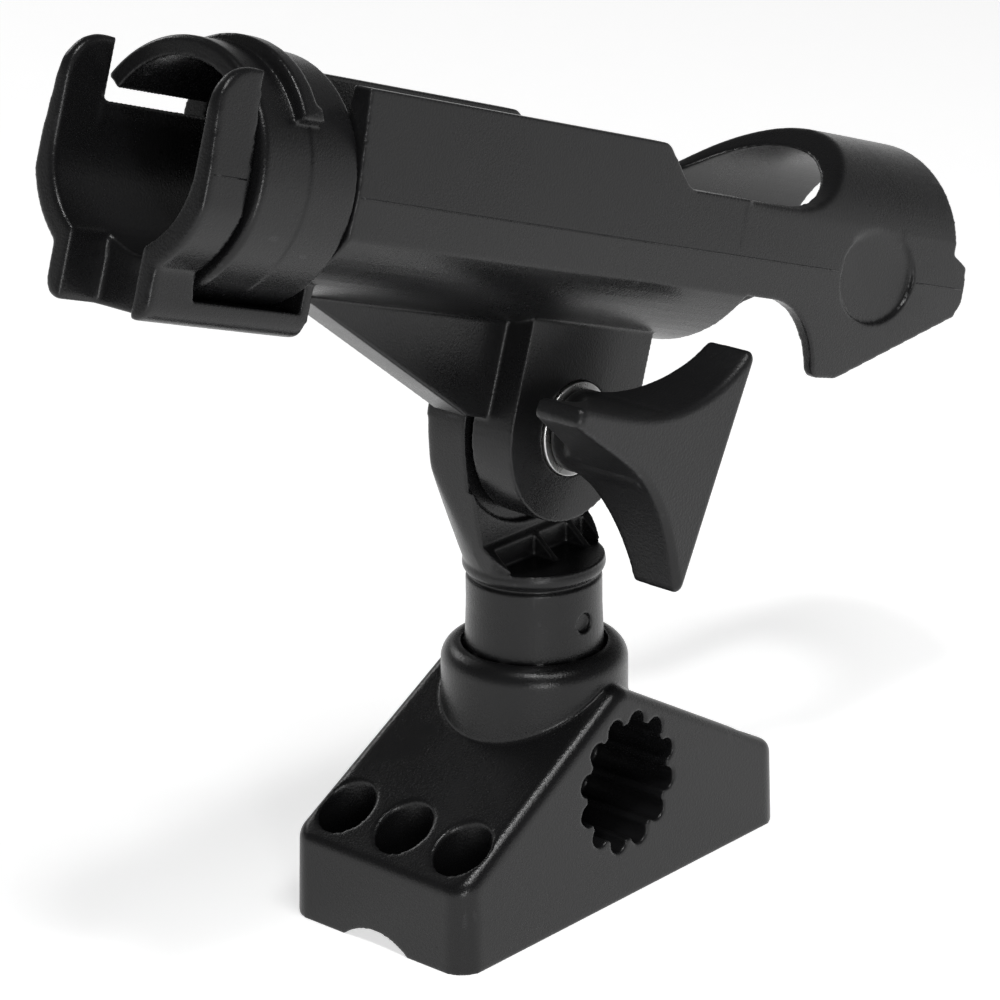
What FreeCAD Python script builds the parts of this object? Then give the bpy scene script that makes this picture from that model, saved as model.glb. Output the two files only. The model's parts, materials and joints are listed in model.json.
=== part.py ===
import FreeCAD, Part
import math
import os

from FreeCAD import Placement, Rotation, Vector

# Rod holder for a boat deck or gunwale, in millimetres.
# X runs along the mount and points away from the rod's open end, Y points across,
# Z is up. The origin is the centre of the mount's underside.
# The cradle is drawn in its own frame first: x along the tube towards the rear,
# y across, z up from the tilt pivot. It is then tilted and moved to the pivot.

X_AXIS = Vector(1, 0, 0)
Y_AXIS = Vector(0, 1, 0)
Z_AXIS = Vector(0, 0, 1)

# ---- deck mount ----
mount_length = 113.0
mount_width = 54.0
mount_front_height = 19.8
mount_rear_height = 18.9
mount_apex_height = 51.8
mount_apex_x = -0.8
mount_corner_radius = 6.0
mount_draft_degrees = 1.5
mount_edge_round = 3.4
apex_round_radius = 6.0
rail_groove_half_width = 9.6
rail_groove_height = 3.4
deck_hole_radius = 3.0
deck_hole_head_radius = 6.5
deck_hole_floor = 9.0
deck_hole_x = 46.2
deck_hole_spacing_y = 17.5

collar_radius = 21.5
collar_top = 57.4
collar_round = 4.4
socket_entry_depth = 1.2
socket_entry_gap = 0.15

# ---- splined sockets and the post's splined foot ----
spline_count = 12
spline_pitch_radius = 13.9
socket_core_radius = 14.0
socket_lobe_radius = 2.75
foot_core_radius = 13.75
foot_lobe_radius = 2.5
socket_floor_z = 34.0
side_socket_x = 0.5
side_socket_z = 28.0
side_socket_web = 3.0

# ---- post ----
post_x = -1.7
post_radius = 15.6
post_foot_radius = 15.95
foot_gap = 0.4
foot_top = 56.7
bead_radius = 16.4
bead_bottom = 74.5
bead_top = 78.3
bead_groove_depth = 0.7
bead_groove_height = 1.0
post_dimple_radius = 2.3
post_dimple_depth = 1.2
post_dimple_z = 65.0
post_dimple_degrees = -92.0

# ---- tilt joint ----
pivot_z = 110.7
tilt_degrees = 18.3
lug_radius = 21.5
lug_near_y = 1.5
lug_far_y = 13.6
neck_near_y = -0.3
shelf_edge_y = -7.8
shelf_top_z = 84.6
lug_pocket_radius = 24.0
rib_thickness = 1.6
rib_offsets = [-0.8, 10.3]
shelf_pocket_reach = 15.0
shelf_pocket_wall = 1.2
head_touch_degrees = -2.0
ear_radius = 21.5
ear_near_y = -12.2
ear_far_y = -0.6
ear_half_width = 21.5
tooth_count = 24
tooth_inner_radius = 9.0
tooth_outer_radius = 17.0
tooth_height = 0.8
bolt_radius = 4.0
bolt_clearance = 0.08
bolt_head_flats = 13.0
bolt_head_height = 5.3
bolt_washer_radius = 8.0
bolt_washer_thickness = 1.6
lug_recess_radius = 8.6
lug_recess_depth = 8.5

# ---- knob ----
washer_radius = 10.8
washer_thickness = 1.6
washer_seat_depth = 0.9
washer_seat_clearance = 0.15
hub_radius = 9.4
knob_front_y = -39.7
knob_edge_round = 1.8
knob_tip_round = 1.4
insert_radius = 6.2
insert_front_y = -33.0
bolt_end_y = -31.0

# ---- cradle ----
tube_axis_z = 44.5
bore_radius = 19.5
wall_top_z = 66.5
wall_top_half_width = 24.4
flank_half_width = 26.7
flank_bottom_half_width = 26.3
flank_bottom_z = 35.8
trough_bottom_z = 21.0
trough_front_x = -102.4
trough_floor_end_x = 34.2
barrel_top_z = 75.2
barrel_side_z = 55.5
barrel_side_half_width = 25.7
barrel_end_x = 114.6
tail_inner_top_z = 70.0
tail_inner_half_width = 22.4
claw_inner_half_width = 23.6
claw_bottom_z = 19.1
rim_z = 57.3
recess_x = 83.5
recess_z = 44.4
recess_half_length = 14.8
recess_half_height = 11.3
recess_depth = 1.4

sleeve_radius = 21.55
sleeve_top_z = 53.3
sleeve_mouth_half_width = 18.8
flange_front_x = -143.3
flange_rear_x = -131.6
flange_top_z = 66.2
flange_top_half_width = 22.3
flange_half_width = 24.2
flange_outer_radius = 25.1
flange_corner_radius = 9.0
neck_half_width = 14.8
neck_bottom_z = 13.0
neck_rear_x = -130.9
neck_corner_round = 4.0
slot_half_width = 10.0
slot_end_x = -132.2
keeper_top_z = 18.5
keeper_rear_x = -96.8
keeper_wall_x = -99.4

fin_half_thickness = 4.8
fin_front_x = -87.0
fin_corner_x = -29.0
fin_corner_z = -0.6
lug_clearance = 2.0

# ---- lock ring ----
ring_axis_z = 43.6
ring_front_x = -130.4
ring_rear_x = -102.9
ring_inner_radius = 21.9
ring_outer_radius = 26.4
ring_step_x = -116.5
ring_step = 0.15
ring_gap_start_degrees = 55.0
ring_gap_degrees = 63.0
ring_edge_round = 1.4
ring_clearance = 0.5
rib_radius = 29.0
rib_front_x = -120.5
rib_rear_x = -115.5
rib_start_degrees = 24.0
rib_end_degrees = -59.5
rib_block_rear_x = -114.0
rib_block_degrees = 7.0
tab_radius = 28.2
tab_degrees = 9.0
tab_front_x = -127.4
tab_rear_x = -118.5


def polar(radius, degrees):
    """A point on a circle, as a pair."""
    angle = math.radians(degrees)
    return radius * math.cos(angle), radius * math.sin(angle)


def line(start, end):
    return Part.LineSegment(start, end).toShape()


def arc(start, middle, end):
    return Part.Arc(start, middle, end).toShape()


def face_of(edges):
    return Part.Face(Part.Wire(edges))


def polygon_face(points):
    return Part.Face(Part.makePolygon(points + [points[0]]))


def box(low, high):
    size = high - low
    return Part.makeBox(size.x, size.y, size.z, low)


def cylinder(radius, start, end):
    direction = end - start
    return Part.makeCylinder(radius, direction.Length, start, direction)


def round_edges(solid, radius, wanted):
    """Round every edge of the solid for which wanted(edge) is true."""
    edges = [edge for edge in solid.Edges if wanted(edge)]
    return solid.makeFillet(radius, edges)


def spline_prism(core_radius, lobe_radius, length):
    """A round bar with twelve rounded lobes, from z = 0 up to z = length."""
    bar = Part.makeCylinder(core_radius, length)
    lobes = []
    for index in range(spline_count):
        x, y = polar(spline_pitch_radius, index * 360.0 / spline_count + 180.0 / spline_count)
        lobes.append(Part.makeCylinder(lobe_radius, length, Vector(x, y, 0)))
    return bar.multiFuse(lobes).removeSplitter()


def along_y(solid, origin, sign):
    """Turn a shape drawn along +Z so that it points along +Y or -Y, and move it."""
    turned = solid.copy()
    turned.Placement = Placement(origin, Rotation(X_AXIS, -90.0 * sign))
    return turned


def tooth_ring(base_y, sign):
    """A ring of radial teeth round the pivot that rise from base_y along Y."""
    teeth = []
    half_angle = 180.0 / tooth_count
    for index in range(tooth_count):
        middle = index * 360.0 / tooth_count
        sections = []
        for radius in (tooth_inner_radius, tooth_outer_radius):
            left = polar(radius, middle - half_angle * 0.92)
            right = polar(radius, middle + half_angle * 0.92)
            top = polar(radius, middle)
            corners = [
                Vector(left[0], base_y - 0.3 * sign, left[1]),
                Vector(top[0], base_y + tooth_height * sign, top[1]),
                Vector(right[0], base_y - 0.3 * sign, right[1]),
            ]
            sections.append(Part.makePolygon(corners + [corners[0]]))
        teeth.append(Part.makeLoft(sections, True, True))
    return teeth


# ---------------------------------------------------------------- deck mount


def rounded_rectangle_wire(half_x, half_y, radius, z):
    corners = [(1, -1), (1, 1), (-1, 1), (-1, -1)]
    edges = []
    previous_end = None
    first_start = None
    for index, (side_x, side_y) in enumerate(corners):
        centre = Vector(side_x * (half_x - radius), side_y * (half_y - radius), z)
        start_angle = -90.0 + 90.0 * index
        points = []
        for step in (0.0, 45.0, 90.0):
            x, y = polar(radius, start_angle + step)
            points.append(centre + Vector(x, y, 0))
        if previous_end is None:
            first_start = points[0]
        else:
            edges.append(line(previous_end, points[0]))
        edges.append(arc(points[0], points[1], points[2]))
        previous_end = points[2]
    edges.append(line(previous_end, first_start))
    return Part.Wire(edges)


def mount_block():
    """The wedge: a tapered block with rounded corners, cut to a roof-like side outline."""
    shrink = mount_apex_height * math.tan(math.radians(mount_draft_degrees))
    half_x = mount_length / 2.0
    half_y = mount_width / 2.0
    foot = rounded_rectangle_wire(half_x, half_y, mount_corner_radius, 0)
    top = rounded_rectangle_wire(
        half_x - shrink, half_y - shrink, mount_corner_radius - shrink, mount_apex_height
    )
    block = Part.makeLoft([foot, top], True, True)
    slope = math.atan2(mount_apex_height - mount_rear_height, half_x)
    run = apex_round_radius * math.sin(slope)
    crown = mount_apex_height - apex_round_radius * (1.0 / math.cos(slope) - 1.0)
    tangent_z = mount_apex_height - run * math.tan(slope)
    y = -mount_width
    drop = math.tan(slope)
    corners = [
        Vector(half_x + 1, y, -1),
        Vector(-half_x - 1, y, -1),
        Vector(-half_x - 1, y, mount_front_height - drop),
    ]
    rear_top = Vector(half_x + 1, y, mount_rear_height - drop)
    left = Vector(mount_apex_x - run, y, tangent_z)
    right = Vector(mount_apex_x + run, y, tangent_z)
    roof = face_of([
        line(corners[0], corners[1]),
        line(corners[1], corners[2]),
        line(corners[2], left),
        arc(left, Vector(mount_apex_x, y, crown), right),
        line(right, rear_top),
        line(rear_top, corners[0]),
    ]).extrude(Vector(0, 2 * mount_width, 0))
    return block.common(roof)


def mount_socket(length):
    return spline_prism(socket_core_radius, socket_lobe_radius, length)


def deck_mount():
    block = mount_block()

    def on_the_roof(edge):
        high = edge.BoundBox.ZMin > mount_rear_height - 2.5
        return high and not (edge.BoundBox.YLength > mount_width / 2.0 and edge.BoundBox.ZMin > 30.0)

    block = round_edges(block, mount_edge_round, on_the_roof)
    collar = cylinder(collar_radius, Vector(post_x, 0, 5), Vector(post_x, 0, collar_top))
    collar = round_edges(collar, collar_round, lambda edge: edge.BoundBox.ZMin > collar_top - 0.1)
    body = block.fuse(collar)

    top_socket = mount_socket(collar_top - socket_floor_z + 1)
    top_socket.translate(Vector(post_x, 0, socket_floor_z))
    lobe_reach = spline_pitch_radius + socket_lobe_radius
    entry = cylinder(
        lobe_reach + socket_entry_gap,
        Vector(post_x, 0, collar_top - socket_entry_depth), Vector(post_x, 0, collar_top + 1),
    )
    cuts = [top_socket, entry]
    for sign in (-1, 1):
        origin = Vector(side_socket_x, side_socket_web * sign, side_socket_z)
        cuts.append(along_y(mount_socket(mount_width / 2.0), origin, sign))
    for side_x in (-1, 1):
        for row in (-1, 0, 1):
            x = side_x * deck_hole_x
            y = row * deck_hole_spacing_y
            cuts.append(cylinder(deck_hole_radius, Vector(x, y, -1), Vector(x, y, 60)))
            head = cylinder(deck_hole_head_radius, Vector(x, y, deck_hole_floor), Vector(x, y, 60))
            cuts.append(head)
    width = rail_groove_half_width
    height = rail_groove_height
    groove = face_of([
        arc(
            Vector(-mount_length, -width, -0.01),
            Vector(-mount_length, 0, height),
            Vector(-mount_length, width, -0.01),
        ),
        line(Vector(-mount_length, width, -0.01), Vector(-mount_length, -width, -0.01)),
    ]).extrude(Vector(2 * mount_length, 0, 0))
    cuts.append(groove)
    for cut in cuts:
        body = body.cut(cut)
    return body


# ---------------------------------------------------------------------- post


def post_column():
    """Splined foot, round column and bead, turned about the post's own axis."""
    foot = spline_prism(foot_core_radius, foot_lobe_radius, foot_top - socket_floor_z - foot_gap)
    foot.translate(Vector(0, 0, socket_floor_z + foot_gap))
    groove_top = bead_bottom
    groove_bottom = bead_bottom - bead_groove_height
    middle = (bead_bottom + bead_top) / 2.0
    outline = [
        Vector(0, 0, foot_top - 0.1),
        Vector(post_foot_radius, 0, foot_top - 0.1),
        Vector(post_foot_radius, 0, collar_top),
        Vector(post_radius, 0, collar_top + 9),
        Vector(post_radius, 0, groove_bottom),
        Vector(post_radius - bead_groove_depth, 0, groove_bottom + 0.3),
        Vector(post_radius - bead_groove_depth, 0, groove_top),
    ]
    edges = [line(start, end) for start, end in zip(outline[:-1], outline[1:])]
    inner = outline[-1]
    outer_low = Vector(bead_radius, 0, middle)
    top = Vector(bead_radius - 0.9, 0, bead_top)
    edges.append(arc(inner, Vector(bead_radius - 0.45, 0, groove_top + 0.75), outer_low))
    edges.append(arc(outer_low, Vector(bead_radius - 0.25, 0, bead_top - 0.7), top))
    edges.append(line(top, Vector(0, 0, bead_top)))
    edges.append(line(Vector(0, 0, bead_top), outline[0]))
    column = face_of(edges).revolve(Vector(0, 0, 0), Z_AXIS, 360)
    return foot.fuse(column)


def head_side_outline():
    """The head seen from the side: gently bowed flanks that run into the lug's disc."""
    height = pivot_z - bead_top + 1.0
    foot_x = bead_radius - 0.4
    base = -height
    y = -3 * lug_radius
    x, z = polar(lug_radius, head_touch_degrees)
    out_x, out_z = polar(1.0, head_touch_degrees)
    chord = Vector(x - foot_x, 0, z - base)
    bow_radius = chord.Length ** 2 / (2.0 * (out_x * chord.x + out_z * chord.z))
    centre_x = x - bow_radius * out_x
    centre_z = z - bow_radius * out_z
    foot_degrees = math.degrees(math.atan2(base - centre_z, foot_x - centre_x))
    step_x, step_z = polar(bow_radius, (foot_degrees + head_touch_degrees) / 2.0)
    bow_x = centre_x + step_x
    bow_z = centre_z + step_z
    return face_of([
        line(Vector(-foot_x, y, base), Vector(foot_x, y, base)),
        arc(Vector(foot_x, y, base), Vector(bow_x, y, bow_z), Vector(x, y, z)),
        arc(Vector(x, y, z), Vector(0, y, lug_radius), Vector(-x, y, z)),
        arc(Vector(-x, y, z), Vector(-bow_x, y, bow_z), Vector(-foot_x, y, base)),
    ]).extrude(Vector(0, 6 * lug_radius, 0))


def head_front_outline():
    """The head seen along X: sloping shelf on the near side, lug on the far side."""
    base = bead_top - 1.0 - pivot_z
    shelf = shelf_top_z - pivot_z
    top = lug_radius + 1.0
    x = -3 * lug_radius
    points = [
        Vector(x, -bead_radius, base),
        Vector(x, -bead_radius, bead_top - pivot_z),
        Vector(x, shelf_edge_y, bead_top - pivot_z),
        Vector(x, neck_near_y, shelf),
        Vector(x, neck_near_y, top),
        Vector(x, lug_far_y, top),
        Vector(x, lug_far_y, -20.0),
        Vector(x, bead_radius - 1.2, -27.0),
        Vector(x, bead_radius - 0.4, base),
    ]
    return polygon_face(points).extrude(Vector(6 * lug_radius, 0, 0))


def post_head():
    """Neck and lug in the pivot's own frame."""
    head = head_side_outline().common(head_front_outline())
    flare = Part.makeCone(bead_radius - 0.4, 27.5, 34.0, Vector(0, 0, bead_top - 1.0 - pivot_z), Z_AXIS)
    head = head.common(flare.fuse(box(Vector(-40, -40, -2.0), Vector(40, 40, 40))))

    def lug_rim(edge):
        box_of = edge.BoundBox
        return box_of.YMin > lug_far_y - 0.1 and box_of.ZMin > -19.0

    head = round_edges(head, 1.5, lug_rim)
    pocket = cylinder(lug_pocket_radius, Vector(0, -30, 0), Vector(0, lug_near_y, 0))
    return head.cut(pocket)


def shelf_pockets():
    """Pockets that leave the sloping shelf as thin gussets, open towards the near side."""
    pockets = []
    half_rib = rib_thickness / 2.0
    starts = [-shelf_pocket_reach] + [offset + half_rib for offset in rib_offsets]
    ends = [offset - half_rib for offset in rib_offsets] + [shelf_pocket_reach]
    front_y = -bead_radius - 1.0
    back_y = neck_near_y - shelf_pocket_wall
    for start, end in zip(starts, ends):
        low = Vector(post_x + start, front_y, bead_top)
        high = Vector(post_x + end, back_y, shelf_top_z + 2.0)
        pockets.append(box(low, high))
    return pockets


def post():
    column = post_column()
    column.translate(Vector(post_x, 0, 0))
    head = post_head()
    head.translate(Vector(post_x, 0, pivot_z))
    body = column.fuse(head)
    teeth = tooth_ring(lug_near_y, -1)
    for tooth in teeth:
        tooth.translate(Vector(post_x, 0, pivot_z))
    body = body.multiFuse(teeth)
    cuts = shelf_pockets()
    centre = Vector(post_x, 0, pivot_z)
    bore = bolt_radius + bolt_clearance
    cuts.append(cylinder(bore, centre + Vector(0, -5, 0), centre + Vector(0, 30, 0)))
    recess_floor = Vector(0, lug_far_y - lug_recess_depth, 0)
    cuts.append(cylinder(lug_recess_radius, centre + recess_floor, centre + Vector(0, 30, 0)))
    x, y = polar(1.0, post_dimple_degrees)
    outward = Vector(x, y, 0)
    start = Vector(post_x, 0, post_dimple_z) + outward * (post_radius - post_dimple_depth)
    cuts.append(cylinder(post_dimple_radius, start, start + outward * 5))
    for cut in cuts:
        body = body.cut(cut)
    return body


# --------------------------------------------------------------- tilt clamp


def hexagon_prism(flats, low_y, high_y):
    corner_radius = flats / math.sqrt(3.0)
    points = []
    for index in range(6):
        x, z = polar(corner_radius, 60.0 * index)
        points.append(Vector(x, low_y, z))
    return polygon_face(points).extrude(Vector(0, high_y - low_y, 0))


def at_pivot(shape):
    shape.translate(Vector(post_x, 0, pivot_z))
    return shape


def bolt_washer():
    floor = lug_far_y - lug_recess_depth
    top = floor + bolt_washer_thickness
    outside = cylinder(bolt_washer_radius, Vector(0, floor, 0), Vector(0, top, 0))
    hole = cylinder(bolt_radius + bolt_clearance, Vector(0, 0, 0), Vector(0, 30, 0))
    return at_pivot(outside.cut(hole))


def pivot_bolt():
    seat = lug_far_y - lug_recess_depth + bolt_washer_thickness
    shank = cylinder(bolt_radius, Vector(0, bolt_end_y, 0), Vector(0, seat + 1, 0))
    head = hexagon_prism(bolt_head_flats, seat, seat + bolt_head_height)
    top = seat + bolt_head_height
    cone = Part.makeCone(7.9, 6.3, 1.6, Vector(0, top - 1.6, 0), Y_AXIS)
    head = head.common(cone.fuse(cylinder(9, Vector(0, seat, 0), Vector(0, top - 1.6, 0))))
    return at_pivot(shank.fuse(head))


def knob_washer():
    seat = ear_near_y + washer_seat_depth
    disc = cylinder(washer_radius, Vector(0, seat - washer_thickness, 0), Vector(0, seat, 0))
    disc = round_edges(disc, 0.35, lambda edge: edge.BoundBox.YMax < seat - 0.1)
    hole = cylinder(bolt_radius + bolt_clearance, Vector(0, -30, 0), Vector(0, 0, 0))
    return at_pivot(disc.cut(hole))


def knob_outline(y):
    """Three points: two hollow sides run to the blunt left point, a straight side joins the others."""
    right = Vector(34.2, y, 21.5)
    bottom = Vector(3.3, y, -37.1)
    left_top = Vector(-28.6, y, 18.2)
    left_low = Vector(-30.6, y, 14.6)
    top_hollow = [Vector(16.3, y, 10.4), Vector(-0.5, y, 9.3), Vector(-14.0, y, 12.6)]
    low_hollow = [Vector(-16.0, y, 3.0), Vector(-7.2, y, -5.4), Vector(-1.0, y, -17.0)]
    top_side = Part.BSplineCurve()
    top_side.interpolate([right] + top_hollow + [left_top])
    low_side = Part.BSplineCurve()
    low_side.interpolate([left_low] + low_hollow + [bottom])
    return face_of([
        line(bottom, right),
        top_side.toShape(),
        line(left_top, left_low),
        low_side.toShape(),
    ])


def knob_trumpet():
    """A round body whose back flares like a trumpet from the washer out to the three points."""
    seat = ear_near_y + washer_seat_depth - washer_thickness
    flare = Part.BSplineCurve()
    flare.interpolate([
        Vector(hub_radius, seat - 2.2, 0),
        Vector(10.6, -19.4, 0),
        Vector(15.0, -22.0, 0),
        Vector(23.0, -24.6, 0),
        Vector(32.0, -26.6, 0),
        Vector(42.0, -27.4, 0),
    ])
    front = Vector(0, knob_front_y, 0)
    rim = Vector(42.0, knob_front_y, 0)
    body = face_of([
        line(front, Vector(0, seat, 0)),
        line(Vector(0, seat, 0), Vector(hub_radius, seat, 0)),
        line(Vector(hub_radius, seat, 0), Vector(hub_radius, seat - 2.2, 0)),
        flare.toShape(),
        line(Vector(42.0, -27.4, 0), rim),
        line(rim, front),
    ])
    return body.revolve(Vector(0, 0, 0), Y_AXIS, 360)


def wing_knob():
    seat = ear_near_y + washer_seat_depth - washer_thickness
    prism = knob_outline(seat).extrude(Vector(0, knob_front_y - seat, 0))
    upright = seat - knob_front_y - 0.5
    prism = round_edges(prism, knob_tip_round, lambda edge: edge.BoundBox.YLength > upright)
    prism = round_edges(prism, knob_edge_round, lambda edge: edge.BoundBox.YMax < knob_front_y + 0.5)
    hub = cylinder(hub_radius, Vector(0, knob_front_y + 3, 0), Vector(0, seat, 0))
    body = prism.fuse(hub).common(knob_trumpet())
    pocket = cylinder(insert_radius, Vector(0, insert_front_y, 0), Vector(0, 0, 0))
    return at_pivot(body.cut(pocket))


def knob_insert():
    seat = ear_near_y + washer_seat_depth - washer_thickness
    bush = cylinder(insert_radius, Vector(0, insert_front_y, 0), Vector(0, seat, 0))
    hole = cylinder(bolt_radius + bolt_clearance, Vector(0, insert_front_y + 1.2, 0), Vector(0, 0, 0))
    return at_pivot(bush.cut(hole))


# -------------------------------------------------------------------- cradle


def to_cradle_place(shape):
    """Tilt a shape drawn in the cradle's frame and move it to the pivot."""
    placed = shape.copy()
    placed.Placement = Placement(Vector(post_x, 0, pivot_z), Rotation(Y_AXIS, tilt_degrees))
    return placed


def trough_section(x):
    """Flat flanks with a parting line at tube height and a bowed underside."""
    corners = [
        Vector(x, flank_bottom_half_width, flank_bottom_z),
        Vector(x, flank_half_width, tube_axis_z),
        Vector(x, wall_top_half_width, wall_top_z + 1),
        Vector(x, -wall_top_half_width, wall_top_z + 1),
        Vector(x, -flank_half_width, tube_axis_z),
        Vector(x, -flank_bottom_half_width, flank_bottom_z),
    ]
    edges = [line(start, end) for start, end in zip(corners[:-1], corners[1:])]
    edges.append(arc(corners[-1], Vector(x, 0, trough_bottom_z), corners[0]))
    return face_of(edges)


def tail_section(x):
    """The same flanks, closed over the top by a round barrel, with straight lower claws."""
    half = flank_bottom_half_width
    side = barrel_side_half_width
    corners = [
        Vector(x, half, claw_bottom_z - 5),
        Vector(x, half, flank_bottom_z),
        Vector(x, flank_half_width, tube_axis_z),
        Vector(x, side, barrel_side_z),
    ]
    mirrored = [Vector(x, -point.y, point.z) for point in reversed(corners)]
    edges = [line(start, end) for start, end in zip(corners[:-1], corners[1:])]
    edges.append(arc(corners[-1], Vector(x, 0, barrel_top_z), mirrored[0]))
    edges += [line(start, end) for start, end in zip(mirrored[:-1], mirrored[1:])]
    edges.append(line(mirrored[-1], corners[0]))
    return face_of(edges)


def trough_side_outline():
    """Side view of the trough: square front, long wall, then a slope and a sweep to the rim."""
    y = -40
    front_top = Vector(trough_front_x, y, wall_top_z)
    wall_end = Vector(-4.2, y, wall_top_z)
    turn = Vector(-1.3, y, wall_top_z - 1.1)
    slope_end = Vector(4.6, y, 59.8)
    rim_start = Vector(10.5, y, rim_z)
    rim_end = Vector(trough_floor_end_x, y, rim_z)
    floor_end = Vector(trough_floor_end_x, y, 10)
    front_low = Vector(trough_front_x, y, 10)
    edges = [
        line(front_low, front_top),
        line(front_top, wall_end),
        arc(wall_end, Vector(-2.6, y, wall_top_z - 0.25), turn),
        line(turn, slope_end),
        arc(slope_end, Vector(7.2, y, 57.8), rim_start),
        line(rim_start, rim_end),
        line(rim_end, floor_end),
        line(floor_end, front_low),
    ]
    return face_of(edges).extrude(Vector(0, 80, 0))


def tail_side_outline():
    """Side view of the tail: rim, rise to the barrel, rear edge, bottom line and hook."""
    y = -40
    rise_x = 47.6
    rise_radius = 30.0
    rise_degrees = 38.0
    rise_dx, rise_dz = polar(rise_radius, rise_degrees - 90.0)
    half_dx, half_dz = polar(rise_radius, rise_degrees / 2.0 - 90.0)
    rise_end = Vector(rise_x + rise_dx, y, rim_z + rise_radius + rise_dz)
    rise_top_z = barrel_top_z + 3.0
    slope = math.tan(math.radians(rise_degrees))
    rise_top = Vector(rise_end.x + (rise_top_z - rise_end.z) / slope, y, rise_top_z)
    hook_radius = 20.9
    hook_centre = Vector(45.3, y, 14.9)
    hook_top = hook_centre + Vector(0, 0, hook_radius)
    mid_x, mid_z = polar(hook_radius, 50.0)
    end_x, end_z = polar(hook_radius, 19.0)
    hook_end = hook_centre + Vector(end_x, 0, end_z)
    tip = Vector(68.6, y, claw_bottom_z)
    heel = Vector(75.4, y, claw_bottom_z + 0.3)
    rear_low = Vector(118.9, y, 37.6)
    rear_mid = Vector(120.6, y, 41.5)
    rear_nose = Vector(120.2, y, 49.8)
    rear_step = Vector(barrel_end_x, y, barrel_side_z - 3.0)
    start = Vector(trough_floor_end_x - 6.0, y, rim_z)
    edges = [
        line(start, Vector(rise_x, y, rim_z)),
        arc(
            Vector(rise_x, y, rim_z),
            Vector(rise_x + half_dx, y, rim_z + rise_radius + half_dz),
            rise_end,
        ),
        line(rise_end, rise_top),
        line(rise_top, Vector(barrel_end_x, y, rise_top_z)),
        line(Vector(barrel_end_x, y, rise_top_z), rear_step),
        line(rear_step, rear_nose),
        line(rear_nose, rear_mid),
        line(rear_mid, rear_low),
        line(rear_low, heel),
        line(heel, tip),
        arc(tip, Vector(66.2, y, claw_bottom_z + 0.6), Vector(65.3, y, claw_bottom_z + 1.7)),
        line(Vector(65.3, y, claw_bottom_z + 1.7), hook_end),
        arc(hook_end, hook_centre + Vector(mid_x, 0, mid_z), hook_top),
        line(hook_top, Vector(start.x, y, hook_top.z)),
        line(Vector(start.x, y, hook_top.z), start),
    ]
    return face_of(edges).extrude(Vector(0, 80, 0))


def tail_hollow():
    """The inside of the tail, open at the rear and below."""
    x = trough_floor_end_x - 1.0
    inner = tail_inner_half_width
    corners = [
        Vector(x, claw_inner_half_width - 1.0, claw_bottom_z - 6),
        Vector(x, claw_inner_half_width, claw_bottom_z),
        Vector(x, inner, 39.0),
        Vector(x, inner, 54.4),
    ]
    mirrored = [Vector(x, -point.y, point.z) for point in reversed(corners)]
    edges = [line(start, end) for start, end in zip(corners[:-1], corners[1:])]
    edges.append(arc(corners[-1], Vector(x, 0, tail_inner_top_z), mirrored[0]))
    edges += [line(start, end) for start, end in zip(mirrored[:-1], mirrored[1:])]
    edges.append(line(mirrored[-1], corners[0]))
    return face_of(edges).extrude(Vector(100, 0, 0))


def bore_and_slot(start_x, end_x, mouth_half_width):
    """Round tube bore with straight sides running out through the open top."""
    tube = cylinder(bore_radius, Vector(start_x, 0, tube_axis_z), Vector(end_x, 0, tube_axis_z))
    low = Vector(start_x, -mouth_half_width, tube_axis_z)
    channel = box(low, Vector(end_x, mouth_half_width, 90))
    return tube.fuse(channel)


def neck_block(front_x, rear_x, top_z):
    """A block as wide as the neck, with its two lower edges rounded."""
    block = box(Vector(front_x, -neck_half_width, neck_bottom_z), Vector(rear_x, neck_half_width, top_z))

    def lower_edge(edge):
        box_of = edge.BoundBox
        return box_of.XLength > 1.0 and box_of.ZMax < neck_bottom_z + 0.1

    return round_edges(block, neck_corner_round, lower_edge)


def guide_flange():
    """Front guide: two walls, an arched lower half and a slotted neck below."""
    length = flange_rear_x - flange_front_x
    x = flange_front_x
    half = flange_half_width
    walls = polygon_face([
        Vector(x, half, tube_axis_z - 6.5),
        Vector(x, half, tube_axis_z),
        Vector(x, flange_top_half_width, flange_top_z),
        Vector(x, -flange_top_half_width, flange_top_z),
        Vector(x, -half, tube_axis_z),
        Vector(x, -half, tube_axis_z - 6.5),
    ]).extrude(Vector(length, 0, 0))
    disc = cylinder(flange_outer_radius, Vector(x, 0, tube_axis_z), Vector(x + length, 0, tube_axis_z))
    disc = disc.common(box(Vector(x - 1, -half, 0), Vector(x + length + 1, half, tube_axis_z)))
    neck = neck_block(x, neck_rear_x, tube_axis_z)
    slant = polygon_face([
        Vector(flange_rear_x, -40, tube_axis_z + 1),
        Vector(flange_rear_x, -40, 21.5),
        Vector(neck_rear_x, -40, keeper_top_z),
        Vector(neck_rear_x + 1, -40, keeper_top_z),
        Vector(neck_rear_x + 1, -40, tube_axis_z + 1),
    ]).extrude(Vector(0, 80, 0))
    neck = neck.cut(slant)
    body = walls.fuse(disc).fuse(neck)
    slot = box(Vector(x - 1, -slot_half_width, 0), Vector(slot_end_x, slot_half_width, tube_axis_z))
    body = body.cut(bore_and_slot(x - 1, x + length + 3, bore_radius)).cut(slot).removeSplitter()
    corner = flange_corner_radius
    clip = face_of([
        line(Vector(x, -40, flange_top_z - corner), Vector(x, -40, flange_top_z + 5)),
        line(Vector(x, -40, flange_top_z + 5), Vector(x + corner, -40, flange_top_z + 5)),
        line(Vector(x + corner, -40, flange_top_z + 5), Vector(x + corner, -40, flange_top_z)),
        arc(
            Vector(x + corner, -40, flange_top_z),
            Vector(x + corner * (1 - math.sqrt(0.5)), -40, flange_top_z - corner * (1 - math.sqrt(0.5))),
            Vector(x, -40, flange_top_z - corner),
        ),
    ]).extrude(Vector(0, 80, 0))
    return body.cut(clip)


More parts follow.
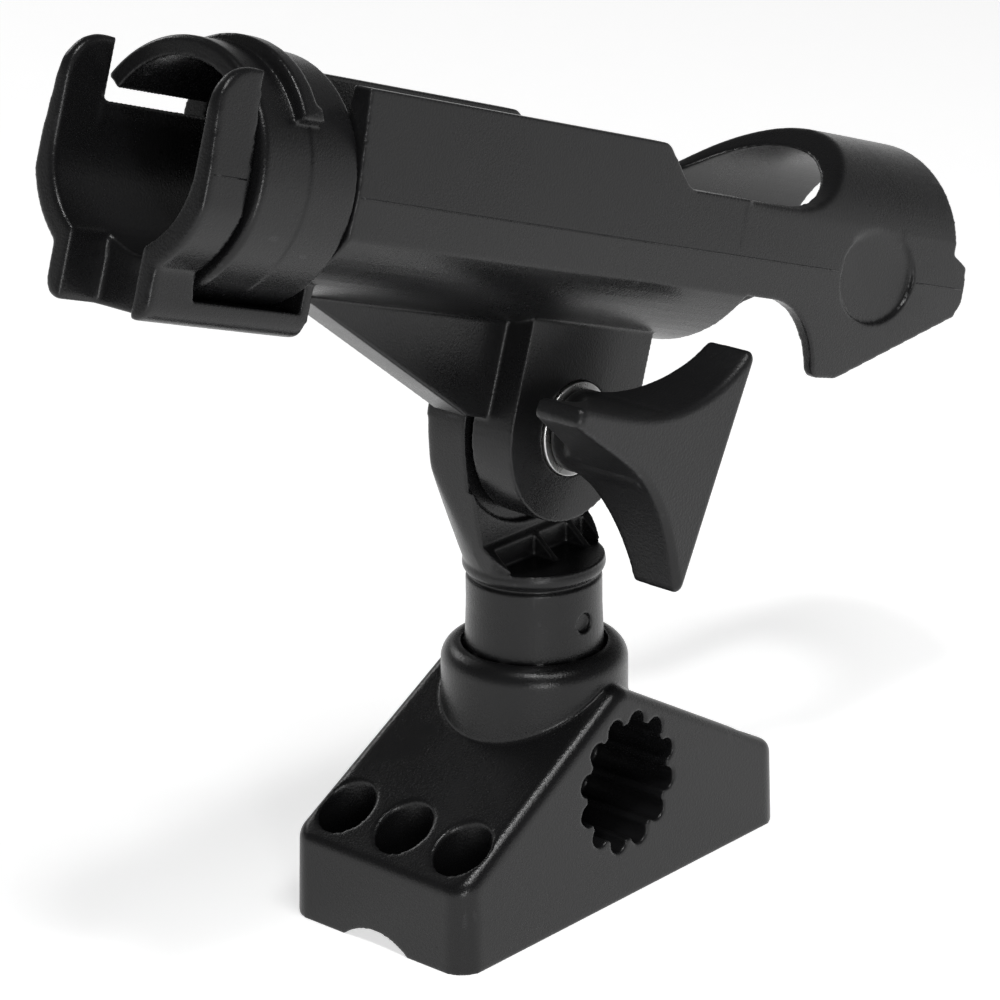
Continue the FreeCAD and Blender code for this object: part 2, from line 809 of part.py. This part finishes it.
def ring_keeper():
    """The bridge that runs under the lock ring from the guide's neck to the trough."""
    bridge = neck_block(slot_end_x, keeper_rear_x, keeper_top_z)
    wall = box(
        Vector(keeper_wall_x, -neck_half_width, keeper_top_z - 0.5),
        Vector(keeper_rear_x, neck_half_width, trough_bottom_z + 4.0),
    )
    room = cylinder(
        ring_outer_radius + ring_clearance,
        Vector(neck_rear_x, 0, ring_axis_z), Vector(keeper_wall_x, 0, ring_axis_z),
    )
    return bridge.cut(room).fuse(wall)


def fin():
    y = -fin_half_thickness
    plate = polygon_face([
        Vector(fin_front_x, y, trough_bottom_z + 2.5),
        Vector(fin_front_x, y, trough_bottom_z - 0.5),
        Vector(fin_corner_x, y, fin_corner_z),
        Vector(-15.0, y, fin_corner_z),
        Vector(-15.0, y, trough_bottom_z + 2.5),
    ]).extrude(Vector(0, 2 * fin_half_thickness, 0))
    lug_space = cylinder(
        lug_radius + lug_clearance, Vector(0, ear_far_y, 0), Vector(0, 20, 0)
    )
    return plate.cut(lug_space)


def ear():
    disc = cylinder(ear_radius, Vector(0, ear_near_y, 0), Vector(0, ear_far_y, 0))
    upright = box(
        Vector(-ear_half_width, ear_near_y, 0),
        Vector(ear_half_width, ear_far_y, trough_bottom_z + 4),
    )
    return disc.fuse(upright).removeSplitter()


def recess_cutters():
    """A shallow plain oval recess in each flank of the tail."""
    cutters = []
    for sign in (-1, 1):
        centre = Vector(recess_x, 0, recess_z)
        ellipse = Part.Ellipse(centre, recess_half_length, recess_half_height)
        face = face_of([ellipse.toShape()])
        face.rotate(centre, X_AXIS, 90)
        inner = flank_half_width - recess_depth
        face.translate(Vector(0, sign * inner, 0))
        cutters.append(face.extrude(Vector(0, sign * 5, 0)))
    return cutters


def cradle():
    trough = trough_section(trough_front_x).extrude(Vector(trough_floor_end_x - trough_front_x, 0, 0))
    trough = trough.common(trough_side_outline())
    trough = trough.cut(bore_and_slot(trough_front_x - 1, trough_floor_end_x + 1, bore_radius))
    tail = tail_section(trough_floor_end_x - 6.0).extrude(Vector(100, 0, 0))
    tail = tail.common(tail_side_outline()).cut(tail_hollow())
    tail = tail.cut(bore_and_slot(trough_floor_end_x - 10.0, trough_floor_end_x - 0.9, bore_radius))
    sleeve = cylinder(
        sleeve_radius,
        Vector(flange_rear_x - 1, 0, ring_axis_z), Vector(trough_front_x + 1, 0, ring_axis_z),
    )
    sleeve_cap = box(Vector(-140, -40, sleeve_top_z), Vector(-90, 40, 90))
    sleeve = sleeve.cut(sleeve_cap).cut(bore_and_slot(-140, -90, sleeve_mouth_half_width))
    body = trough.multiFuse([tail, sleeve, guide_flange(), ring_keeper(), fin(), ear()])
    body = body.multiFuse(tooth_ring(ear_far_y, 1))
    far_relief = cylinder(lug_radius + lug_clearance, Vector(0, ear_far_y, 0), Vector(0, 20, 0))
    teeth_keep = cylinder(tooth_outer_radius + 1.5, Vector(0, ear_far_y, 0), Vector(0, 20, 0))
    cuts = [far_relief.cut(teeth_keep)]
    seat_radius = washer_radius + washer_seat_clearance
    cuts.append(cylinder(bolt_radius + 0.3, Vector(0, -30, 0), Vector(0, 5, 0)))
    cuts.append(cylinder(seat_radius, Vector(0, -30, 0), Vector(0, ear_near_y + washer_seat_depth, 0)))
    cuts += recess_cutters()
    for cut in cuts:
        body = body.cut(cut)
    return to_cradle_place(body.removeSplitter())


# ----------------------------------------------------------------- lock ring


def ring_point(radius, degrees):
    """A point on the ring; degrees are counted from the top towards +Y."""
    x, z = polar(radius, 90.0 - degrees)
    return x, z


def ring_sector(inner_radius, outer_radius, start_degrees, end_degrees, front_x, rear_x):
    """A piece of tube about the tube axis between two bearings."""
    middle = (start_degrees + end_degrees) / 2.0
    outer = []
    inner = []
    for degrees in (start_degrees, middle, end_degrees):
        y, z = ring_point(outer_radius, degrees)
        outer.append(Vector(front_x, y, z + ring_axis_z))
        y, z = ring_point(inner_radius, degrees)
        inner.append(Vector(front_x, y, z + ring_axis_z))
    return face_of([
        arc(outer[0], outer[1], outer[2]),
        line(outer[2], inner[2]),
        arc(inner[2], inner[1], inner[0]),
        line(inner[0], outer[0]),
    ]).extrude(Vector(rear_x - front_x, 0, 0))


def tapered_rib():
    """A rib round the ring that rises out of its surface towards the thumb block."""
    inner_radius = ring_inner_radius + 1.0
    middle = (rib_start_degrees + rib_end_degrees) / 2.0
    outer = [(ring_outer_radius, rib_start_degrees), (rib_radius, middle), (rib_radius, rib_end_degrees)]
    inner = [(inner_radius, degrees) for degrees in (rib_end_degrees, middle, rib_start_degrees)]
    corners = []
    for radius, degrees in outer + inner:
        y, z = ring_point(radius, degrees)
        corners.append(Vector(rib_front_x, y, z + ring_axis_z))
    return face_of([
        arc(corners[0], corners[1], corners[2]),
        line(corners[2], corners[3]),
        arc(corners[3], corners[4], corners[5]),
        line(corners[5], corners[0]),
    ]).extrude(Vector(rib_rear_x - rib_front_x, 0, 0))


def lock_ring():
    gap_end = ring_gap_start_degrees + ring_gap_degrees
    full_end = ring_gap_start_degrees + 360.0
    thin = ring_outer_radius - ring_step
    front = ring_sector(ring_inner_radius, thin, gap_end, full_end, ring_front_x, ring_step_x)
    rear = ring_sector(
        ring_inner_radius, ring_outer_radius, gap_end, full_end, ring_step_x, ring_rear_x
    )
    body = front.fuse(rear)

    def front_outer_edge(edge):
        box_of = edge.BoundBox
        return box_of.XMax < ring_front_x + 0.1 and box_of.YLength > 2 * ring_inner_radius + 3.0

    body = round_edges(body, ring_edge_round, front_outer_edge)
    rib = tapered_rib()
    block = ring_sector(
        ring_inner_radius + 1.0, rib_radius, rib_end_degrees,
        rib_end_degrees + rib_block_degrees, rib_front_x, rib_block_rear_x,
    )
    tab = ring_sector(
        ring_inner_radius + 1.0, tab_radius, ring_gap_start_degrees - tab_degrees,
        ring_gap_start_degrees, tab_front_x, tab_rear_x,
    )
    return to_cradle_place(body.multiFuse([rib, block, tab]).removeSplitter())


NODES = {
    "deck_mount": deck_mount,
    "post": post,
    "cradle": cradle,
    "lock_ring": lock_ring,
    "wing_knob": wing_knob,
    "knob_insert": knob_insert,
    "knob_washer": knob_washer,
    "pivot_bolt": pivot_bolt,
    "bolt_washer": bolt_washer,
}

os.makedirs("parts", exist_ok=True)
for node, build in NODES.items():
    shape = build()
    shape.exportStep("parts/" + node + ".step")
    print(node, "valid", shape.isValid(), "solids", len(shape.Solids), "volume", round(shape.Volume))
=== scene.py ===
import json
import math

import bmesh
import bpy
from mathutils import Matrix, Vector
from mathutils.bvhtree import BVHTree


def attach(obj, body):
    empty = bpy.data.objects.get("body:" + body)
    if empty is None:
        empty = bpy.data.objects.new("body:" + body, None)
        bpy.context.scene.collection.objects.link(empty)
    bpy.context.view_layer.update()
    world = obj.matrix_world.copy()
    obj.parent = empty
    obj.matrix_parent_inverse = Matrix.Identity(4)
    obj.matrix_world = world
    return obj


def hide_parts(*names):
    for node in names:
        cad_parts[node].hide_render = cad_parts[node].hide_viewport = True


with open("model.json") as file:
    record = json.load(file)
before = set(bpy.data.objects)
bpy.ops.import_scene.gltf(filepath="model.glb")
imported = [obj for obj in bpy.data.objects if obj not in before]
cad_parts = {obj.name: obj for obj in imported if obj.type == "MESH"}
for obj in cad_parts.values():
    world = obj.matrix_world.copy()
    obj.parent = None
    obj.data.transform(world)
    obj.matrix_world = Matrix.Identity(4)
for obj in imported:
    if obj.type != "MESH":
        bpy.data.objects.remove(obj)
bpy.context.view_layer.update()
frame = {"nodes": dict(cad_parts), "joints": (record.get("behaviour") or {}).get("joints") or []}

scene = bpy.context.scene
mm = 0.001

# ---------------------------------------------------------------- node helpers


class Nodes:
    """A material's node tree, with short calls for the nodes this scene uses."""

    def __init__(self, name):
        self.material = bpy.data.materials.new(name)
        self.material.use_nodes = True
        self.tree = self.material.node_tree
        self.tree.nodes.clear()
        self.output = self.add("ShaderNodeOutputMaterial")
        self.shader = self.add("ShaderNodeBsdfPrincipled")
        self.join(self.shader.outputs[0], self.output.inputs["Surface"])
        self.place = self.add("ShaderNodeTexCoord").outputs["Object"]

    def add(self, kind, **settings):
        node = self.tree.nodes.new(kind)
        for key, value in settings.items():
            setattr(node, key, value)
        return node

    def join(self, start, end):
        self.tree.links.new(start, end)

    def feed(self, socket, value):
        """A number or colour is set on the socket, and another node's output is linked to it."""
        if isinstance(value, bpy.types.NodeSocket):
            self.join(value, socket)
        else:
            socket.default_value = value

    def noise(self, scale, detail, rough):
        node = self.add("ShaderNodeTexNoise")
        self.join(self.place, node.inputs["Vector"])
        node.inputs["Scale"].default_value = scale
        node.inputs["Detail"].default_value = detail
        node.inputs["Roughness"].default_value = rough
        return node.outputs["Fac"]

    def voronoi(self, scale):
        node = self.add("ShaderNodeTexVoronoi", feature="F1")
        self.join(self.place, node.inputs["Vector"])
        node.inputs["Scale"].default_value = scale
        return node.outputs["Distance"]

    def span(self, value, low, high, to_low, to_high):
        node = self.add("ShaderNodeMapRange")
        self.feed(node.inputs["Value"], value)
        node.inputs["From Min"].default_value = low
        node.inputs["From Max"].default_value = high
        node.inputs["To Min"].default_value = to_low
        node.inputs["To Max"].default_value = to_high
        return node.outputs["Result"]

    def math(self, operation, first, second):
        node = self.add("ShaderNodeMath", operation=operation)
        self.feed(node.inputs[0], first)
        self.feed(node.inputs[1], second)
        return node.outputs[0]

    def mix(self, share, first, second):
        node = self.add("ShaderNodeMix", data_type="RGBA")
        self.feed(node.inputs["Factor"], share)
        self.feed(node.inputs["A"], first)
        self.feed(node.inputs["B"], second)
        return node.outputs["Result"]

    def bump(self, height, strength, distance, under):
        node = self.add("ShaderNodeBump")
        self.join(height, node.inputs["Height"])
        node.inputs["Strength"].default_value = strength
        node.inputs["Distance"].default_value = distance
        self.join(under, node.inputs["Normal"])
        return node.outputs["Normal"]


def moulded_nylon(name, colour, edge_highlight_colour, roughness, grain_size, grain_depth, edge_radius):
    """Black glass-filled nylon: a spark-eroded mould grain, faint flow marks, and a painted highlight on
    sharp edges.
    """
    m = Nodes(name)
    flow = m.noise(28.0, 4.0, 0.6)
    grain = m.noise(1 / grain_size, 3.0, 0.65)
    pits = m.voronoi(0.7 / grain_size)
    edges = m.add("ShaderNodeBevel", samples=6)
    edges.inputs["Radius"].default_value = edge_radius
    rounded = edges.outputs["Normal"]
    pointed = m.add("ShaderNodeNewGeometry").outputs["Pointiness"]
    # Painted highlight: the sharpest convex edges, found by pointiness, get a paler colour, broken up by
    # noise.
    edge_highlight_mask = m.span(pointed, 0.515, 0.58, 0.0, 1.0)
    edge_highlight_mask = m.math("MULTIPLY", edge_highlight_mask, m.span(m.noise(160.0, 4.0, 0.7), 0.35, 0.7, 0.15, 1.0))
    darker = (*[c * 0.86 for c in colour], 1)
    paler = (*[c * 1.12 for c in colour], 1)
    clouds = m.mix(m.span(flow, 0.3, 0.7, 0.0, 1.0), darker, paler)
    # The painted edge highlight colour is mixed over the flow clouds.
    m.feed(m.shader.inputs["Base Color"], m.mix(edge_highlight_mask, clouds, (*edge_highlight_colour, 1)))
    mottle = m.math("ADD", m.math("MULTIPLY", flow, 0.6), m.math("MULTIPLY", grain, 0.4))
    matt = m.span(mottle, 0.35, 0.65, roughness - 0.05, roughness + 0.06)
    m.feed(m.shader.inputs["Roughness"], matt)
    m.shader.inputs["IOR"].default_value = 1.45
    m.shader.inputs["Specular IOR Level"].default_value = 0.38
    height = m.math("ADD", m.math("MULTIPLY", grain, 0.7), m.math("MULTIPLY", pits, 0.5))
    m.feed(m.shader.inputs["Normal"], m.bump(height, 0.55, grain_depth, rounded))
    return m.material


def stainless_steel(name, axis_point, edge_radius):
    """Turned stainless steel: fine tool marks in rings about the pivot's axis, and a few dull patches."""
    m = Nodes(name)
    shift = m.add("ShaderNodeVectorMath", operation="SUBTRACT")
    m.join(m.place, shift.inputs[0])
    shift.inputs[1].default_value = axis_point
    flat = m.add("ShaderNodeVectorMath", operation="MULTIPLY")
    m.join(shift.outputs[0], flat.inputs[0])
    flat.inputs[1].default_value = (1, 0, 1)
    length = m.add("ShaderNodeVectorMath", operation="LENGTH")
    m.join(flat.outputs[0], length.inputs[0])
    turned = m.add("ShaderNodeTexNoise", noise_dimensions="1D")
    m.join(length.outputs["Value"], turned.inputs["W"])
    turned.inputs["Scale"].default_value = 6000.0
    turned.inputs["Detail"].default_value = 3.0
    dull = m.noise(220.0, 4.0, 0.6)
    edges = m.add("ShaderNodeBevel", samples=6)
    edges.inputs["Radius"].default_value = edge_radius
    bright = (0.62, 0.62, 0.61, 1)
    faded = (0.48, 0.48, 0.48, 1)
    m.feed(m.shader.inputs["Base Color"], m.mix(m.span(dull, 0.4, 0.7, 0.0, 1.0), bright, faded))
    m.shader.inputs["Metallic"].default_value = 1.0
    m.feed(m.shader.inputs["Roughness"], m.span(dull, 0.3, 0.7, 0.2, 0.38))
    marks = m.bump(turned.outputs["Fac"], 0.3, 0.02 * mm, edges.outputs["Normal"])
    m.feed(m.shader.inputs["Normal"], marks)
    return m.material


# ---------------------------------------------------------------- the object's materials

joints = {joint["name"]: joint for joint in frame["joints"]}
pivot = Vector(joints["tilt"]["pos_m"])
ring_axis = Vector(joints["ring_turn"]["axis"])
along = Vector((ring_axis.x, 0.0, ring_axis.z))      # the rod's line, from the guide back to the tail
upright = Vector((-along.z, 0.0, along.x))           # square to it, upwards

eased_edge = 0.4 * mm
# Each nylon's second, paler colour is the painted highlight on its sharp edges.
nylon = moulded_nylon(
    "nylon", colour=(0.0068, 0.0068, 0.0072), edge_highlight_colour=(0.024, 0.024, 0.025), roughness=0.28,
    grain_size=0.42 * mm, grain_depth=0.09 * mm, edge_radius=eased_edge)
knob_nylon = moulded_nylon(
    "knob_nylon", colour=(0.009, 0.009, 0.0095), edge_highlight_colour=(0.030, 0.030, 0.031), roughness=0.36,
    grain_size=0.5 * mm, grain_depth=0.16 * mm, edge_radius=eased_edge)
stainless = stainless_steel("stainless", axis_point=pivot, edge_radius=0.15 * mm)


# ---------------------------------------------------------------- moulded pieces

weld_distance = 2e-6
smooth_step = 0.5            # how far one smoothing pass moves a corner towards its neighbours' middle
smooth_passes = 3


def welded(node, name):
    """The node's mesh as a new object, its doubled corners joined."""
    mesh = frame["nodes"][node].data.copy()
    shape = bmesh.new()
    shape.from_mesh(mesh)
    bmesh.ops.remove_doubles(shape, verts=shape.verts, dist=weld_distance)
    shape.to_mesh(mesh)
    shape.free()
    mesh.materials.clear()
    piece = bpy.data.objects.new(name, mesh)
    scene.collection.objects.link(piece)
    return piece


def settle(piece):
    """The piece's modifiers are applied to its mesh."""
    graph = bpy.context.evaluated_depsgraph_get()
    mesh = bpy.data.meshes.new_from_object(piece.evaluated_get(graph))
    piece.modifiers.clear()
    piece.data = mesh
    mesh.name = piece.name
    return piece


def moulded(node, body, material, voxel, faces, softer):
    """The CAD node as it comes out of a mould: every edge eased, and more so where softer(point) says."""
    piece = welded(node, node + "_moulding")
    remesh = piece.modifiers.new("skin", "REMESH")
    remesh.mode = "VOXEL"
    remesh.voxel_size = voxel
    settle(piece)
    ease = piece.modifiers.new("ease", "SMOOTH")
    ease.factor = smooth_step
    ease.iterations = smooth_passes
    picked = {}
    for vertex in piece.data.vertices:
        picked.setdefault(softer(vertex.co), []).append(vertex.index)
    for extra in sorted(picked):
        if extra:
            group = piece.vertex_groups.new(name=f"softer_{extra}")
            group.add(picked[extra], 1.0, "REPLACE")
            more = piece.modifiers.new(group.name, "SMOOTH")
            more.factor = smooth_step
            more.iterations = extra
            more.vertex_group = group.name
    settle(piece)
    triangles = sum(len(face.vertices) - 2 for face in piece.data.polygons)
    if triangles > faces:
        thin = piece.modifiers.new("thin", "DECIMATE")
        thin.ratio = faces / triangles
        settle(piece)
    piece.data.materials.clear()
    piece.data.materials.append(material)
    piece.data.shade_smooth()
    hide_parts(node)
    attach(piece, body)
    return piece


def cradle_place(point):
    """A point as (distance back along the rod, across, height above the pivot), in millimetres."""
    offset = (point - pivot) / mm
    return offset.dot(along), offset.y, offset.dot(upright)


# Where extra smoothing is wanted, in millimetres: along and above the rod's line for the cradle and the
# ring, and along the scene's axes for the mount, the post and the knob.
guide_rear = -131.9
neck_rear = -96
neck_top = 17
hoop_span = (30, 92)
hoop_bottom = 52
ring_axis_height = 43.6
ring_outer_radius = 26.7
well_row_x = 46.2
well_reach = 8.5
well_floor = 11
knob_back = -31
post_side = 12
post_far = 3
post_neck_span = (82, 114)


def softer_cradle(point):
    """The guide's walls and neck are well rounded, and so is the hoop over the tail."""
    back, _, height = cradle_place(point)
    if back < guide_rear or (back < neck_rear and height < neck_top):
        return 34
    if hoop_span[0] < back < hoop_span[1] and height > hoop_bottom:
        return 40
    return 0


def softer_mount(point):
    """The mouths of the screw wells are eased more than the rest."""
    near_a_row = abs(abs(point.x) - well_row_x * mm) < well_reach * mm
    return 14 if near_a_row and point.z > well_floor * mm else 1


def softer_post(point):
    """The neck swells smoothly into the lug on its two flanks."""
    aside = abs(point.x - pivot.x) > post_side * mm and point.y > post_far * mm
    return 150 if aside and post_neck_span[0] * mm < point.z < post_neck_span[1] * mm else 1


def softer_ring(point):
    """The rib and the tab on the ring are round bars."""
    _, across, height = cradle_place(point)
    return 50 if math.hypot(across, height - ring_axis_height) > ring_outer_radius else 2


def softer_knob(point):
    """The knob's back flows out of its hub."""
    return 30 if point.y > knob_back * mm else 6


cradle = moulded("cradle", "cradle_body", nylon, 0.42 * mm, 190_000, softer_cradle)
moulded("deck_mount", "base", nylon, 0.4 * mm, 160_000, softer_mount)
moulded("post", "post_body", nylon, 0.32 * mm, 150_000, softer_post)
moulded("lock_ring", "ring_body", nylon, 0.32 * mm, 90_000, softer_ring)
moulded("wing_knob", "knob_body", knob_nylon, 0.32 * mm, 90_000, softer_knob)

hardware = {
    "knob_washer": stainless,
    "bolt_washer": stainless,
    "pivot_bolt": stainless,
    "knob_insert": knob_nylon,
}
for node, material in hardware.items():
    part = frame["nodes"][node]
    part.data.materials.clear()
    part.data.materials.append(material)
    part.data.shade_smooth()
    weld = part.modifiers.new("weld", "WELD")
    weld.merge_threshold = weld_distance
    bevel = part.modifiers.new("edge", "BEVEL")
    bevel.width = 0.3 * mm
    bevel.segments = 3
    bevel.angle_limit = math.radians(40)
    bevel.harden_normals = True


seam_half_width = 0.2 * mm
seam_height = 0.1 * mm
seam_arc_points = 5          # corners across the seam's rounded front
seam_step = 3.0              # these four in the cradle's frame, in millimetres
seam_line_height = 44.5
clear_of_flank = 40.0
seam_spans = {"trough": (-101.5, 67.0), "tail": (99.5, 119.0), "guide": (-142.0, -132.6)}


def parting_line(name, start, end, side):
    """The mould's parting line on a flank of the cradle: a fine raised seam, its back in the surface."""
    skin = BVHTree.FromObject(cradle, bpy.context.evaluated_depsgraph_get())
    outward = Vector((0, side, 0))
    count = round((end - start) / seam_step)
    shape = bmesh.new()
    rows = []
    for index in range(count + 1):
        back = start + (end - start) * index / count
        outside = pivot + (along * back + upright * seam_line_height + outward * clear_of_flank) * mm
        hit = skin.ray_cast(outside, -outward)[0]
        if hit is None:
            break
        row = []
        for turn in range(seam_arc_points):
            angle = math.pi * turn / (seam_arc_points - 1)
            out = outward * math.sin(angle) * seam_height
            row.append(shape.verts.new(hit + upright * math.cos(angle) * seam_half_width + out))
        row.append(shape.verts.new(hit - outward * seam_height))
        rows.append(row)
    sides = len(rows[0])
    for first, second in zip(rows[:-1], rows[1:]):
        for turn in range(sides):
            after = (turn + 1) % sides
            shape.faces.new((first[turn], first[after], second[after], second[turn]))
    shape.faces.new(rows[0])
    shape.faces.new(rows[-1])
    bmesh.ops.recalc_face_normals(shape, faces=shape.faces)
    mesh = bpy.data.meshes.new(name)
    shape.to_mesh(mesh)
    shape.free()
    mesh.materials.append(nylon)
    mesh.shade_smooth()
    seam = bpy.data.objects.new(name, mesh)
    scene.collection.objects.link(seam)
    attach(seam, "cradle_body")


for side, label in ((-1, "near"), (1, "far")):
    for part_of_flank, (start, end) in seam_spans.items():
        parting_line(f"seam_{label}_{part_of_flank}", start, end, side)

# ---------------------------------------------------------------- floor, light and camera


floor_radius = 9.0
camera_target = Vector((0, 0, 0.110))
camera_distance = 0.93413
camera_azimuth, camera_elevation, camera_roll = -48.9, 19.1, -0.31      # degrees
holder_middle = (0, 0, 0.12)


def studio_floor():
    """A pale sweep that the holder stands on, flat and round, with the faint mottle of matt paper."""
    m = Nodes("pale_floor")
    mottle = m.mix(m.noise(60.0, 4.0, 0.6), (0.80, 0.80, 0.80, 1), (0.84, 0.84, 0.84, 1))
    m.feed(m.shader.inputs["Base Color"], mottle)
    m.shader.inputs["Roughness"].default_value = 0.9
    m.shader.inputs["Specular IOR Level"].default_value = 0.1
    m.shader.inputs["Emission Color"].default_value = (1, 1, 1, 1)
    m.shader.inputs["Emission Strength"].default_value = 0.64
    mesh = bpy.data.meshes.new("floor")
    shape = bmesh.new()
    bmesh.ops.create_circle(shape, cap_ends=True, radius=floor_radius, segments=96)
    shape.to_mesh(mesh)
    shape.free()
    floor = bpy.data.objects.new("floor", mesh)
    mesh.materials.append(m.material)
    scene.collection.objects.link(floor)


def softbox(name, at, target, width, height, watts):
    """A rectangular light that faces the target."""
    light = bpy.data.lights.new(name, "AREA")
    light.shape = "RECTANGLE"
    light.size = width
    light.size_y = height
    light.energy = watts
    lamp = bpy.data.objects.new(name, light)
    lamp.location = at
    lamp.rotation_euler = (Vector(target) - Vector(at)).to_track_quat("-Z", "Y").to_euler()
    scene.collection.objects.link(lamp)


def sky():
    """The studio round the table: pale walls, and a darker ceiling."""
    world = bpy.data.worlds.new("studio")
    world.use_nodes = True
    tree = world.node_tree
    back = tree.nodes["Background"]
    place = tree.nodes.new("ShaderNodeTexCoord")
    split = tree.nodes.new("ShaderNodeSeparateXYZ")
    ramp = tree.nodes.new("ShaderNodeValToRGB")
    tree.links.new(place.outputs["Generated"], split.inputs[0])
    tree.links.new(split.outputs["Z"], ramp.inputs[0])
    tree.links.new(ramp.outputs[0], back.inputs["Color"])
    ramp.color_ramp.elements[0].position = 0.0
    ramp.color_ramp.elements[0].color = (0.9, 0.9, 0.9, 1)
    ramp.color_ramp.elements[1].position = 0.7
    ramp.color_ramp.elements[1].color = (0.06, 0.06, 0.06, 1)
    middle = ramp.color_ramp.elements.new(0.22)
    middle.color = (0.20, 0.20, 0.20, 1)
    scene.world = world


def camera():
    """The lens and place that see the holder as the real one was seen."""
    azimuth, elevation, roll = map(math.radians, (camera_azimuth, camera_elevation, camera_roll))
    level = math.cos(elevation)
    back = Vector((level * math.sin(azimuth), -level * math.cos(azimuth), math.sin(elevation)))
    right = Vector((math.cos(azimuth), math.sin(azimuth), 0.0))
    up = back.cross(right)
    turned_right = right * math.cos(roll) + up * math.sin(roll)
    turned_up = up * math.cos(roll) - right * math.sin(roll)
    lens = bpy.data.cameras.new("camera")
    lens.sensor_width = 36.0
    lens.lens = 149.6
    lens.shift_x = -0.038
    lens.shift_y = -0.082
    lens.clip_start = 0.01
    lens.clip_end = 50.0
    eye = bpy.data.objects.new("camera", lens)
    turn = Matrix((turned_right, turned_up, back)).transposed().to_4x4()
    eye.matrix_world = Matrix.Translation(camera_target + back * camera_distance) @ turn
    scene.collection.objects.link(eye)
    scene.camera = eye


studio_floor()
sky()
softbox("overhead", (-0.15, -0.50, 1.15), holder_middle, width=0.4, height=0.4, watts=4)
softbox("spot", (-0.33, -0.30, 1.35), holder_middle, width=0.14, height=0.14, watts=5)
softbox("strip", (-0.87, -1.10, 0.29), (-0.08, -0.02, 0.15), width=0.22, height=0.5, watts=4.5)
softbox("rear", (0.2, 1.4, 0.9), (0, 0, 0.15), width=0.7, height=0.25, watts=3)
camera()
scene.view_settings.view_transform = "Standard"
